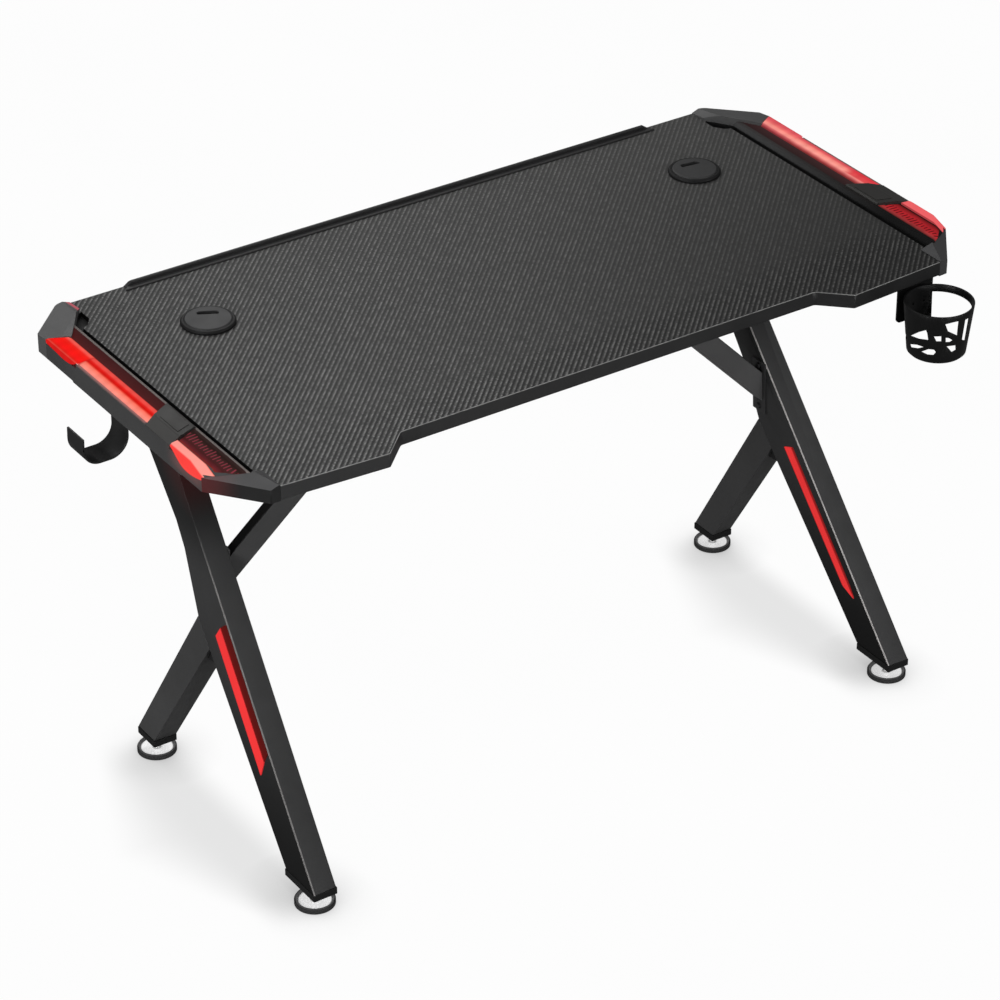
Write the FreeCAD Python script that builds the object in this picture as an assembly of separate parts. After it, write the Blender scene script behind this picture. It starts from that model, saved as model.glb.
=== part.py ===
import FreeCAD, Part
import os
import math

# Gaming desk: laminated board on two forked steel legs, with light panels along
# both sides, turning cable grommets, levelling feet, a headset hook and a cup basket.
# Millimetres, +Z up, -Y is the user's side, the desk's length runs along X.

V = FreeCAD.Vector

# ---- driving sizes -------------------------------------------------------
TOP_Z = 730.0            # height of the writing surface
BOARD_T = 22.0           # board with laminate
LAM_T = 1.0              # laminate sheet
BAND_T = 1.0             # edge band
SIDE_X = 650.0           # half length over the side panels
BACK_Y = 310.0           # rear edge
FRONT_Y = -310.0         # front edge at the tabs' inner corners
FRONT_YC = -298.4        # front edge at the outer corners
RECESS_Y = -269.0        # front edge inside the recess
RECESS_X = 361.0         # recess corner
TAB_X = 404.0            # tab's inner corner
RECESS_R = 10.0
LAM_X = 583.0            # side edge of the laminate
HOUSE_X = 592.0          # inner face of the side panel
CORE_X = 640.0           # side edge of the board under the panel
GROM = {"left": (-424.0, 148.0, -28.0), "right": (444.0, 142.0, -8.0)}   # place and turn of the cable grommets
GROM_R = 30.0            # hole in the board
LEG_X = 531.4            # leg plane at the floor
LEG_LEAN = 3.0           # degrees the legs lean inwards
FOOT_X = 530.5           # levelling feet
BAR_X = 495.3            # top bars, over the leaning legs' upper ends
LEG_W = 38.0             # leg width along X
LEG_WALL = 2.0
LEG_BOT = 36.0           # leg tube's lower end
CAP_T = 11.0             # plate of the legs' end caps
BAR_Z = 688.0            # underside of the top bars and the cross beam
BAR_WALL = 1.5
BEAM_Y0, BEAM_Y1 = -42.0, -2.0
BRACE_SKEW = 7.6         # degrees the braces lean forward on their way up
FOOT_YF, FOOT_YR = -286.0, 176.0
FOOT_R = 30.5
FOOT_TRAVEL = 15.0
CUP_X, CUP_Y = 532.0, -350.0
CUP_TOP, CUP_BOT = 700.0, 617.0
CUP_R1, CUP_R0 = 53.0, 44.5
HOOK_Y0, HOOK_Y1 = 8.0, 54.0
SHIFT = V(29.962, 46.5, 0.0)   # puts the origin under the middle of the bounding box

BOARD_B = TOP_Z - BOARD_T
CORE_T = TOP_Z - LAM_T

os.makedirs("parts", exist_ok=True)
made = {}


# ---- helpers -------------------------------------------------------------
def prism(pts, vec):
    w = Part.makePolygon(list(pts) + [pts[0]])
    return Part.Face(w).extrude(vec)


def pxy(pts, z0, z1):
    return prism([V(x, y, z0) for x, y in pts], V(0, 0, z1 - z0))


def pxz(pts, y0, y1):
    return prism([V(x, y0, z) for x, z in pts], V(0, y1 - y0, 0))


def pyz(pts, x0, x1):
    return prism([V(x0, y, z) for y, z in pts], V(x1 - x0, 0, 0))


def box(x0, x1, y0, y1, z0, z1):
    return Part.makeBox(x1 - x0, y1 - y0, z1 - z0, V(x0, y0, z0))


def cyl(r, x, y, z0, z1):
    return Part.makeCylinder(r, z1 - z0, V(x, y, z0))


def cylx(r, x0, x1, y, z):
    return Part.makeCylinder(r, x1 - x0, V(x0, y, z), V(1, 0, 0))


def cyly(r, y0, y1, x, z):
    return Part.makeCylinder(r, y1 - y0, V(x, y0, z), V(0, 1, 0))


def turned(prof, x, y):
    w = Part.makePolygon([V(r, 0, z) for r, z in prof] + [V(prof[0][0], 0, prof[0][1])])
    s = Part.Face(w).revolve(V(0, 0, 0), V(0, 0, 1), 360)
    s.translate(V(x, y, 0))
    return s


def area2(pts):
    return sum(a[0] * b[1] - b[0] * a[1] for a, b in zip(pts, pts[1:] + pts[:1]))


def inset(pts, d, each=None):
    """Polygon moved inwards by d, or by each[i] on the edge from point i to i+1."""
    n = len(pts)
    s = 1.0 if area2(pts) > 0 else -1.0
    lines = []
    for i in range(n):
        ax, ay = pts[i]
        bx, by = pts[(i + 1) % n]
        L = math.hypot(bx - ax, by - ay)
        ux, uy = (bx - ax) / L, (by - ay) / L
        nx, ny = -uy * s, ux * s
        k = d if each is None else each[i]
        lines.append((ax + nx * k, ay + ny * k, ux, uy))
    out = []
    for i in range(n):
        x1, y1, u1, v1 = lines[i - 1]
        x2, y2, u2, v2 = lines[i]
        det = u1 * v2 - v1 * u2
        t = ((x2 - x1) * v2 - (y2 - y1) * u2) / det
        out.append((x1 + u1 * t, y1 + v1 * t))
    return out


def rounded_face(pts, radii, z):
    n = len(pts)
    tang = []
    for i in range(n):
        p = V(pts[i][0], pts[i][1], z)
        r = radii[i]
        if r <= 0:
            tang.append((p, None, p))
            continue
        a = V(pts[i - 1][0], pts[i - 1][1], z) - p
        b = V(pts[(i + 1) % n][0], pts[(i + 1) % n][1], z) - p
        a.normalize()
        b.normalize()
        half = a.getAngle(b) / 2.0
        t = r / math.tan(half)
        mid = a + b
        mid.normalize()
        c = p + mid * (r / math.sin(half))
        tang.append((p + a * t, c - mid * r, p + b * t))
    edges = []
    for i in range(n):
        s, m, e = tang[i]
        if m is not None:
            edges.append(Part.Arc(s, m, e).toShape())
        nxt = tang[(i + 1) % n][0]
        edges.append(Part.LineSegment(e, nxt).toShape())
    return Part.Face(Part.Wire(edges))


def fuse(*shapes):
    s = shapes[0]
    if len(shapes) > 1:
        s = s.multiFuse(list(shapes[1:]))
    return s.removeSplitter()


def mirror(s):
    return s.mirror(V(0, 0, 0), V(1, 0, 0))


def put(name, shape):
    s = shape.copy()
    s.translate(SHIFT)
    solids = s.Solids
    s = solids[0] if len(solids) == 1 else Part.makeCompound(solids)
    made[name] = s
    s.exportStep("parts/%s.step" % name)


def pair(base, shape):
    put(base + "_right", shape)
    put(base + "_left", mirror(shape))


# ---- desk outline --------------------------------------------------------
half = [(RECESS_X, RECESS_Y), (TAB_X, FRONT_Y), (588.0, FRONT_YC), (SIDE_X, -219.0),
        (SIDE_X, 247.0), (586.0, BACK_Y)]
half_r = [RECESS_R, 4.0, 3.0, 4.0, 6.0, 14.0]
OUT = half + [(-x, y) for x, y in reversed(half)]
OUT_R = half_r + list(reversed(half_r))


def outline(d, z0, z1):
    pts = inset(OUT, d) if d else OUT
    rr = []
    for i, r in enumerate(OUT_R):
        reflex = i in (0, len(OUT) - 1)
        rr.append(r + d if reflex else max(r - d, 0.0))
    return rounded_face(pts, rr, z0).extrude(V(0, 0, z1 - z0))


# corner caps in plan, right-hand side
REAR_CAP = [(563, 312), (563, 281), (575, 266), (595, 235), (619, 200.5), (652, 222.5), (652, 312)]
FRONT_CAP = [(573, -312), (652, -312), (652, -217.5), (632, -232), (595, -258), (573, -254)]

# ---- screw positions -----------------------------------------------------
BAR_SCREWS = [(BAR_X, -205.0), (BAR_X, -70.0), (BAR_X, 110.0), (BAR_X, 260.0)]
BEAM_SCREWS = [(60.0, -22.0), (345.0, -22.0)]
HOOK_SCREWS = [(-612.0, 19.0), (-612.0, 43.0)]
CUP_SCREWS = [(484.0, -262.0), (548.0, -262.0)]
frame_pts = [(s * x, y) for x, y in BAR_SCREWS + BEAM_SCREWS for s in (1, -1)]

# dark gap beside each rear cap, and the wiring groove beside each side panel
NOTCH = [(562, 276), (562, 252), (573, 237), (592, 229), (606, 236), (582, 274)]


def gaps(z0):
    cut = []
    for s in (1, -1):
        n = pxy([(s * x, y) for x, y in NOTCH], z0, 760)
        cut.append(n.cut(pxy([(s * x, y) for x, y in inset(REAR_CAP, -0.8)], 700, 770)))
        a, b = sorted((s * (LAM_X + 0.3), s * (HOUSE_X - 0.3)))
        cut.append(box(a, b, -252, 236, z0, 760))
    return cut


# ---- board, laminate, edge bands -----------------------------------------
inner = outline(10.0, BOARD_B, CORE_T)
full = outline(BAND_T, BOARD_B, CORE_T)
front_part = full.common(box(-573, 573, -400, 0, 0, 1000))
rear_part = full.common(box(-563, 563, 0, 400, 0, 1000))
board = fuse(inner, front_part, rear_part)
cuts = [cyl(GROM_R, gx, gy, 600, 800) for gx, gy, _ in GROM.values()]
cuts += [cyl(2.05, x, y, 600, 722.5) for x, y in frame_pts + HOOK_SCREWS + CUP_SCREWS]
board = board.cut(Part.makeCompound(cuts))
for c in gaps(722.0):
    board = board.cut(c)
put("desktop_board", board)

lam = outline(BAND_T, CORE_T, TOP_Z).common(box(-LAM_X, LAM_X, -400, 400, 0, 1000))
g = 0.8
for s in (1, -1):
    for cap in (REAR_CAP, FRONT_CAP):
        grown = inset(cap, -g)
        lam = lam.cut(pxy([(s * x, y) for x, y in grown], 700, 760))
for gx, gy, _ in GROM.values():
    lam = lam.cut(cyl(GROM_R, gx, gy, 600, 800))
for c in gaps(722.0):
    lam = lam.cut(c)
put("carbon_laminate", lam)

ring = outline(0, BOARD_B, TOP_Z).cut(outline(BAND_T, BOARD_B - 5, TOP_Z + 5))
put("edge_band_front", ring.common(box(-573, 573, -400, -200, 0, 1000)))
put("edge_band_rear", ring.common(box(-563, 563, 200, 400, 0, 1000)))

# ---- raised rail along the rear edge -------------------------------------
ledge = pyz([(294.5, TOP_Z), (294.5, 731.6), (295.3, 732.4), (304, 732.4), (304, TOP_Z)], -482, 482)
wall = pyz([(303.5, TOP_Z), (303.5, 736.6), (305, 738.2), (308, 738.2), (310, 736), (310, TOP_Z)], -482, 482)
for s in (1, -1):
    ledge = ledge.cut(pxy([(s * 483, 294), (s * 483, 305), (s * 470, 305), (s * 478, 294)], 700, 760))
    wall = wall.cut(pxz([(s * 474, TOP_Z), (s * 490, TOP_Z), (s * 490, 745), (s * 452, 745)], 280, 330))
rail = fuse(ledge, wall)
put("rear_rail", rail)

# ---- cable grommets ------------------------------------------------------
for side, (gx, gy, turn) in GROM.items():
    sleeve = turned([(27, 705), (29.7, 705), (29.7, TOP_Z), (41, TOP_Z), (41, 733.2), (38.8, 735.6),
                     (35.2, 735.6), (35.2, 732), (27, 732)], gx, gy)
    put("grommet_sleeve_" + side, sleeve)
    disc = turned([(0, 732.1), (35.12, 732.1), (35.12, 735.4), (33.6, 737.2), (0, 737.2)], gx, gy)
    slot = rounded_face([(gx - 16, gy + 11), (gx + 16, gy + 11), (gx + 16, gy + 20), (gx - 16, gy + 20)],
                        [2, 2, 5, 5], 720).extrude(V(0, 0, 40))
    slot.rotate(V(gx, gy, 0), V(0, 0, 1), turn)
    put("grommet_cap_" + side, disc.cut(slot))

# ---- side light panels ---------------------------------------------------
prof_a = [(592, 729), (592, 731), (595, 737.4), (597.5, 738.6), (618, 737), (618, 731), (645.6, 731), (645.6, 737.8),
          (650, 736.8), (650, 704), (646.5, 700), (640, 700), (640, 729), (615.5, 729), (615.5, 734.8), (598, 736.2),
          (594.5, 729)]
prof_b = [(592, 729), (592, 731), (595, 737.4), (597.5, 738.6), (599.5, 738.5), (599.5, 736.1), (632, 734),
          (632, 736.4), (634.2, 736.3), (634.2, 731), (645.6, 731), (645.6, 737.8), (650, 736.8), (650, 704),
          (646.5, 700), (640, 700), (640, 729), (631, 729), (631, 731.8), (598, 734), (594.5, 729)]
SPLIT_Y = -92.0
house = fuse(pxz(prof_a, SPLIT_Y, 285), pxz(prof_b, -300, SPLIT_Y))
keep = outline(0, 600, 800)
house = house.common(keep)
for cap in (REAR_CAP, FRONT_CAP):
    house = house.cut(pxy(cap, 600, 800))
for pts in ([(138, 690), (138, 699.9), (145, 706), (330, 706), (330, 690)],
            [(-158, 690), (-158, 699.9), (-165, 706), (-330, 706), (-330, 690)]):
    house = house.cut(pyz(pts, 600, 700))


def half_space(p, n, size=400.0):
    """Block on the side of the plane through p that n points to."""
    n = V(n)
    n.normalize()
    t = V(0, 0, 1) if abs(n.z) < 0.9 else V(1, 0, 0)
    a = n.cross(t)
    a.normalize()
    b = n.cross(a)
    q = [p + a * i + b * j for i, j in ((-size, -size), (size, -size), (size, size), (-size, size))]
    w = Part.makePolygon(q + [q[0]])
    return Part.Face(w).extrude(n * size)


def lip(curve, x0, x1):
    """Block above a curve of (y, z) points, between two x planes."""
    sp = Part.BSplineCurve()
    sp.interpolate([V(x0, y, z) for y, z in curve])
    a, b = V(x0, *curve[0]), V(x0, *curve[-1])
    up = [a, V(x0, a.y, 770), V(x0, b.y, 770), b]
    edges = [sp.toShape()] + [Part.LineSegment(p, q).toShape() for p, q in ((b, up[2]), (up[2], up[1]), (up[1], a))]
    return Part.Face(Part.Wire(Part.__sortEdges__(edges))).extrude(V(x1 - x0, 0, 0))


# lower edges of the lenses where they wrap over the panel's outer face
LIP_REAR = [(133, 738.6), (139, 735.2), (147, 731.8), (158, 730.0), (171, 729.4), (186, 730.4), (205, 731.6), (240, 732.2)]
LIP_FRONT = [(-131, 738.5), (-140, 734.4), (-148, 729.6), (-155, 725.0), (-162, 721.3), (-172, 718.6), (-184, 717.9),
             (-200, 719.6), (-215, 723.0), (-226, 726.0)]
for curve in (LIP_REAR, LIP_FRONT):
    house = house.cut(lip([(y, z - 0.25) for y, z in curve], 646.2, 655))
house = house.cut(box(645, 655, 131.5, 240, 731, 760)).cut(box(645, 655, -226, -132, 731, 760))
SLOPE = (V(588, -298.4, 727.6), V(0.386, -0.3202, 1.0))     # runs on from the front cap's top
house = house.cut(half_space(*SLOPE))
pair("side_housing", max(house.Solids, key=lambda q: q.Volume))


def corner_cap(plan, tops):
    body = outline(0, 706, 760).common(pxy(plan, 600, 800))
    body = body.cut(board)
    body = body.cut(outline(10.0, 700, BOARD_B))
    for p, nrm in tops:
        body = body.cut(half_space(p, nrm))
    return max(body.Solids, key=lambda q: q.Volume)


rear_tops = [
    (V(600, 250, 742.5), V(0, 0, 1)),
    (V(586, 310, 734.0), V(0.7016 * 0.2046, 0.7127 * 0.2046, 1.0)),
    (V(563, 310, 731.2), V(-0.36, 0.10, 1.0)),
]
front_tops = [
    (V(600, -250, 742.0), V(0, 0, 1)),
    (V(588, -298.4, 727.0), V(0.386, -0.3202, 1.0)),
    (V(573, -270, 731.0), V(-0.45, 0.0, 1.0)),
]
pair("rear_cap", corner_cap(REAR_CAP, rear_tops))
pair("front_cap", corner_cap(FRONT_CAP, front_tops))

# lenses: thin covers standing on the channel floor. The long part of the rear one has a
# bead, a valley and a flat facet; its rear end and the front lens wrap over the outer face.
lens_a = [(618.3, 731), (618.3, 738.6), (623, 741.2), (627.5, 740.6), (631.3, 739), (635.8, 740.6), (645.3, 738.2),
          (645.3, 731), (643.1, 731), (643.1, 736.4), (635.6, 738.3), (631.3, 736.6), (627, 738.3), (623.4, 738.7),
          (620.5, 737.2), (620.5, 731)]
lens_b = [(634.6, 731), (634.6, 738.6), (646.5, 740.4), (650, 738.6), (650, 705), (646.4, 705), (646.4, 736.6),
          (645.6, 737.9), (636.8, 736.6), (636.8, 731)]
lens_e = lens_b[:6] + [(646.4, 731)]     # solid front end
lens_c = [(618.3, 731), (618.3, 738.8), (622.5, 741.2), (646.5, 739.4), (650, 737.8), (650, 705), (646.4, 705),
          (646.4, 735.9), (645.6, 737.1), (623, 738.9), (620.5, 737.5), (620.5, 731)]
BADGE = [(598, -39), (652, -69), (652, -136), (598, -116)]
grown_badge = inset(BADGE, -0.3)


def wrapped(prof, y0, y1, curve):
    full = pxz(prof, y0, y1)
    return fuse(full.common(box(600, 645.6, -400, 400, 700, 780)), full.common(lip(curve, 645.6, 655)))


rear_lens = fuse(pxz(lens_a, -80, 130), wrapped(lens_c, 130, 240, LIP_REAR))
rear_lens = rear_lens.cut(pxy(inset(REAR_CAP, -0.3), 600, 800)).cut(pxy(grown_badge, 600, 800))
pair("rear_lens", max(rear_lens.Solids, key=lambda q: q.Volume))

front_lens = fuse(wrapped(lens_b, -184, -80, LIP_FRONT), wrapped(lens_e, -300, -184, LIP_FRONT))
front_lens = front_lens.common(outline(0.0, 600, 800))
front_lens = front_lens.cut(pxy(inset(FRONT_CAP, -0.05), 600, 800)).cut(pxy(grown_badge, 600, 800))
front_lens = front_lens.common(box(600, 660, -300, -100, 600, 800)).cut(half_space(*SLOPE))
pair("front_lens", max(front_lens.Solids, key=lambda q: q.Volume))

# bare badge block bridging the panel between the two lenses, with a raised pad
badge_top = [(645.4, 734), (645.4, 737.95), (650, 736.95), (650, 737.6), (631.5, 741.8), (629.5, 742.5), (600.5, 742.5),
             (597.2, 740.4)]
badge_sec_a = [(597.6, 738.75), (618, 737.15), (618, 734)] + badge_top
badge_sec_b = [(597.6, 738.75), (599.4, 738.6), (634, 736.5), (634.4, 734)] + badge_top
badge = fuse(pxz(badge_sec_a, SPLIT_Y, -20), pxz(badge_sec_b, -170, SPLIT_Y))
badge = badge.common(pxy(BADGE, 600, 800))
badge = fuse(badge, pxy([(603.5, -55), (626.5, -67.8), (626.5, -116.5), (603.5, -108)], 742, 743.3))
badge = badge.cut(house)
pair("badge_block", max(badge.Solids, key=lambda q: q.Volume))

# dark window strip lying in the pocket beside the front lens
win = pxz([(599.8, 736.1), (631.7, 734.05), (631.7, 736.5), (599.8, 738.6)], -300, -90)
win = win.cut(pxy(inset(FRONT_CAP, -0.3), 600, 800)).cut(pxy(grown_badge, 600, 800)).cut(house)
win = win.common(box(590, 660, -300, -110, 600, 800)).cut(half_space(*SLOPE))
pair("window_strip", max(win.Solids, key=lambda q: q.Volume))

# light strip on the channel floor, one row of diodes
led = box(637.3, 642.7, -178, 188, 731, 732.2)
chips = [box(638.2, 641.8, y - 2.5, y + 2.5, 732.0, 733.4) for y in range(-166, 185, 22)]
pair("led_strip", fuse(led, *chips))

# ---- legs ----------------------------------------------------------------
# Each leg is drawn upright in its own plane and then leaned inwards about the
# line on the floor below it.
X0, X1 = LEG_X - LEG_W / 2, LEG_X + LEG_W / 2
CL = math.cos(math.radians(LEG_LEAN))


def lean(s):
    s = s.copy()
    s.rotate(V(LEG_X, 0, 0), V(0, 1, 0), -LEG_LEAN)
    return s


def tall(pts):
    return [(y, z / CL) for y, z in pts]


def at(a, b, z):
    return (a[0] + (b[0] - a[0]) * (z - a[1]) / (b[1] - a[1]), z)


E = (-12.4, 290.0)
D = (21.0, 330.0)
FRONT_LINE = ((-314.6, 36.0), (197.3, 688.0))
SHIN = (-235.0, 36.0)
NECK = (171.0, 545.0)
HEAD = (250.0, 688.0)
HEEL = (199.0, 36.0)
INSTEP = (150.0, 36.0)
LOW, HIGH = 8.0, 715.0
MAIN = tall([at(*FRONT_LINE, LOW), at(SHIN, E, LOW), E, D, (62.0, 424.0), (86.0, 459.0), NECK,
             at(NECK, HEAD, HIGH), at(*FRONT_LINE, HIGH)])
REAR = tall([D, E, at(E, INSTEP, LOW), at(D, HEEL, LOW)])
BRACE_Y = 16.0
BZ = 395.0
slab = box(0, 1000, -500, 500, LEG_BOT, BAR_Z)
# red inserts: the outer face has a bright bar with a darker facet in front of it,
# the inner face a longer bar
TRIM_OUT = tall([(-31.0, 324.0), (-44.0, 344.0), (-171.0, 184.0), (-163.0, 156.0)])
TRIM_DARK = tall([(-44.0, 344.0), (-58.5, 357.0), (-179.8, 202.5), (-171.0, 184.0)])
TRIM_BOTH = [TRIM_OUT[0], TRIM_OUT[1], TRIM_DARK[1], TRIM_DARK[2], TRIM_OUT[2], TRIM_OUT[3]]
TRIM_IN = tall([(-46.0, 310.7), (-68.0, 319.8), (-214.0, 137.2), (-225.0, 117.0), (-196.0, 128.0)])

t = LEG_WALL
main_in = inset(MAIN, t, [-30.0, t, t, t, t, t, t, -30.0, t])
main_leg = pyz(MAIN, X0, X1).cut(pyz(main_in, X0 + t, X1 - t))
main_leg = main_leg.cut(pyz(inset(TRIM_BOTH, -0.2), X1 - 5, X1 + 5))
main_leg = main_leg.cut(pyz(inset(TRIM_IN, -0.2), X0 - 5, X0 + 5))
BRACKET_BOLTS = [(BRACE_Y, BZ - 36.0), (BRACE_Y, BZ + 38.5)]
for y, z in BRACKET_BOLTS:
    main_leg = main_leg.cut(cylx(3.1, X0 - 5, X0 + 5, y, z))
pair("main_leg", lean(main_leg).common(slab))

rear_in = inset(REAR, t, [-30.0, t, -30.0, t])
rear_leg = pyz(REAR, X0, X1).cut(pyz(rear_in, X0 + t, X1 - t))
pair("rear_leg", lean(rear_leg).common(slab))

e1 = V(SHIN[0] - E[0], SHIN[1] - E[1], 0)
e2 = V(INSTEP[0] - E[0], INSTEP[1] - E[1], 0)
e1.normalize()
e2.normalize()
gus = tall([E, (E[0] + e1.x * 30, E[1] + e1.y * 30), (E[0] + e2.x * 30, E[1] + e2.y * 30)])
gusset = pyz(gus, LEG_X - 13, LEG_X + 13).cut(pyz(MAIN, X0, X1)).cut(pyz(REAR, X0, X1))
pair("leg_gusset", lean(max(gusset.Solids, key=lambda q: q.Volume)))

trim_out = fuse(pyz(TRIM_OUT, X1 - 4.0, X1 + 1.2), pyz(TRIM_DARK, X1 - 4.0, X1 + 0.3))
trim_in = pyz(TRIM_IN, X0 - 1.2, X0 + 4.0)
pair("leg_trim", lean(Part.makeCompound([trim_out, trim_in])))

# plastic end caps with the threaded sockets of the feet
def leg_cap(plan, foot_y, plug):
    y0, y1 = plan
    dx = -LEG_BOT * math.tan(math.radians(LEG_LEAN))
    plate = box(X0 + dx - 1, X1 + dx + 1, y0 - 1, y1 + 1, LEG_BOT - CAP_T, LEG_BOT)
    peg = lean(pyz(tall(plug), X0 + t + 0.4, X1 - t - 0.4)).common(box(0, 1000, -500, 500, LEG_BOT, LEG_BOT + 16))
    return fuse(plate, peg).cut(cyl(4.05, FOOT_X, foot_y, 0, 80))


def plug(a, b):
    """Outline between two sloping tube walls (each a pair of points), clear of them."""
    z0, z1 = LEG_BOT - 6, LEG_BOT + 22
    pts = [at(*a, z0), at(*b, z0), at(*b, z1), at(*a, z1)]
    return inset(pts, t + 0.4, [0.0, t + 0.4, 0.0, t + 0.4])


pair("leg_cap_front", leg_cap((FRONT_LINE[0][0], SHIN[0]), FOOT_YF, plug(FRONT_LINE, (SHIN, E))))
pair("leg_cap_rear", leg_cap((INSTEP[0], HEEL[0]), FOOT_YR, plug((INSTEP, E), (HEEL, D))))


# levelling feet: dished steel disc with its stud, in a dark base ring
def foot(x, y):
    dish = turned([(0, 3), (28, 3), (29, 9), (27.6, 9), (25.4, 4.8), (4, 4.8), (4, 57), (0, 57)], x, y)
    hexa = [(x + 7.5 * math.cos(math.radians(60 * k)), y + 7.5 * math.sin(math.radians(60 * k))) for k in range(6)]
    screw = fuse(dish, pxy(hexa, LEG_BOT - CAP_T - 5, LEG_BOT - CAP_T))
    base = turned([(0, 0), (FOOT_R, 0), (FOOT_R, 6.5), (29.4, 6.5), (28.4, 3), (0, 3)], x, y)
    return screw, base


for tag, x, y in (("front_right", FOOT_X, FOOT_YF), ("front_left", -FOOT_X, FOOT_YF),
                  ("rear_right", FOOT_X, FOOT_YR), ("rear_left", -FOOT_X, FOOT_YR)):
    screw, base = foot(x, y)
    put("foot_screw_" + tag, screw)
    put("foot_base_" + tag, base)

# ---- top bars, cross beam, braces ----------------------------------------
w = BAR_WALL
bx0, bx1 = BAR_X - 20, BAR_X + 20
be = bx0 - 3.0
bar = box(bx0, bx1, -240, 270, BAR_Z, BOARD_B).cut(box(bx0 + w, bx1 - w, -250, 280, BAR_Z + w, BOARD_B - w))
for x, y in BAR_SCREWS:
    bar = bar.cut(cyl(2.2, x, y, 600, 800))
END_BOLTS = [(BEAM_Y0 - 5.5, 698.0), (BEAM_Y1 + 5.5, 698.0)]
for y, z in END_BOLTS:
    bar = bar.cut(cylx(3.1, bx0 - 5, bx0 + 5, y, z))
pair("top_bar", bar)

beam = box(-be, be, BEAM_Y0, BEAM_Y1, BAR_Z, BOARD_B)
beam = beam.cut(box(-be, be, BEAM_Y0 + w, BEAM_Y1 - w, BAR_Z + w, BOARD_B - w))
plates = [box(be, bx0, BEAM_Y0 - 12, BEAM_Y1 + 12, BAR_Z, BOARD_B),
          box(-bx0, -be, BEAM_Y0 - 12, BEAM_Y1 + 12, BAR_Z, BOARD_B)]
beam = fuse(beam, *plates)
for s in (1, -1):
    for x, y in BEAM_SCREWS:
        beam = beam.cut(cyl(2.2, s * x, y, 600, 800))
    for y, z in END_BOLTS:
        a, b = sorted((s * (be - 10), s * (bx0 + 6)))
        beam = beam.cut(cylx(3.1, a, b, y, z))
FLANGE = (157.0, 247.0)
FLANGE_BOLTS = [166.0, 238.0]
FLANGE_Y = (BEAM_Y0 + BEAM_Y1) / 2
for s in (1, -1):
    for x in FLANGE_BOLTS:
        beam = beam.cut(cyl(3.1, s * x, FLANGE_Y, BAR_Z - 5, BAR_Z + 5))
put("cross_beam", beam)

BX = X0 - 3.0                        # face of the bracket, before leaning
bxc = LEG_X + (BX - LEG_X) / CL - BZ * math.tan(math.radians(LEG_LEAN))
o = 24.75
e = 40.0
zt = BAR_Z + 20.0
br = [(bxc + e, BZ - e - o), (bxc + e, BZ - e + o), (bxc + BZ + o - zt, zt), (bxc + BZ - o - zt, zt)]
br_in = inset(br, w, [-5.0, w, -5.0, w])
brace = pxz(br, BRACE_Y - 10, BRACE_Y + 10).cut(pxz(br_in, BRACE_Y - 10 + w, BRACE_Y + 10 - w))
brace.rotate(V(bxc, BRACE_Y, 0), V(0, 0, 1), BRACE_SKEW)
brace = brace.common(box(0, 1000, -200, 200, 0, BAR_Z - 3)).cut(lean(box(BX, BX + 300, -300, 300, 0, 900)))
flange = box(FLANGE[0], FLANGE[1], BEAM_Y0, BEAM_Y1, BAR_Z - 3, BAR_Z)
for x in FLANGE_BOLTS:
    flange = flange.cut(cyl(3.1, x, FLANGE_Y, 600, 800))
pair("brace", fuse(brace, flange))

bracket = box(BX, X0, BRACE_Y - 16, BRACE_Y + 16, BZ - 46, BZ + 46)
for y, z in BRACKET_BOLTS:
    bracket = bracket.cut(cylx(3.1, BX - 5, X0 + 5, y, z))
pair("brace_bracket", lean(bracket))

# ---- fasteners -----------------------------------------------------------
def bolt(p, d, head=4.0, shank=12.0, rh=5.0, rs=3.0):
    return fuse(Part.makeCylinder(rh, head, p - d * head, d), Part.makeCylinder(rs, shank, p, d))


bolts = []
for y, z in BRACKET_BOLTS:
    bolts.append(lean(bolt(V(BX, y, z), V(1, 0, 0))))
for y, z in END_BOLTS:
    bolts.append(bolt(V(be, y, z), V(1, 0, 0)))
for x in FLANGE_BOLTS:
    bolts.append(bolt(V(x, FLANGE_Y, BAR_Z - 3), V(0, 0, 1)))
put("frame_bolts", Part.makeCompound(bolts + [mirror(b) for b in bolts]))

screws = [bolt(V(x, y, BAR_Z), V(0, 0, 1), 2.5, 34.0, 4.5, 2.0) for x, y in frame_pts]
put("board_screws", Part.makeCompound(screws))

# ---- headset hook under the left edge ------------------------------------
def strap(path, thick, y0, y1):
    """Flat strap: path of (x, z, bend radius) bent to shape, extruded across its width."""
    n = len(path)
    rails = ([], [])
    for k, sgn in ((0, 1), (1, -1)):
        offs = []
        segs = []
        for i in range(n - 1):
            ax, az, _ = path[i]
            bx, bz, _ = path[i + 1]
            L = math.hypot(bx - ax, bz - az)
            ux, uz = (bx - ax) / L, (bz - az) / L
            segs.append((ax - uz * sgn * thick / 2, az + ux * sgn * thick / 2, ux, uz))
        pts = [(segs[0][0], segs[0][1], 0.0)]
        for i in range(1, n - 1):
            x1, z1, u1, v1 = segs[i - 1]
            x2, z2, u2, v2 = segs[i]
            det = u1 * v2 - v1 * u2
            tt = ((x2 - x1) * v2 - (z2 - z1) * u2) / det
            turn = 1.0 if det > 0 else -1.0
            pts.append((x1 + u1 * tt, z1 + v1 * tt, path[i][2] - turn * sgn * thick / 2))
        lx, lz, lu, lv = segs[-1]
        L = math.hypot(path[-1][0] - path[-2][0], path[-1][1] - path[-2][1])
        pts.append((lx + lu * L, lz + lv * L, 0.0))
        rails[k].extend(pts)
    loop = rails[0] + rails[1][::-1]
    f = rounded_face([(a, b) for a, b, _ in loop], [r for _, _, r in loop], 0.0)
    f.rotate(V(0, 0, 0), V(1, 0, 0), 90)
    f.translate(V(0, y0, 0))
    return f.extrude(V(0, y1 - y0, 0))


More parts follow.
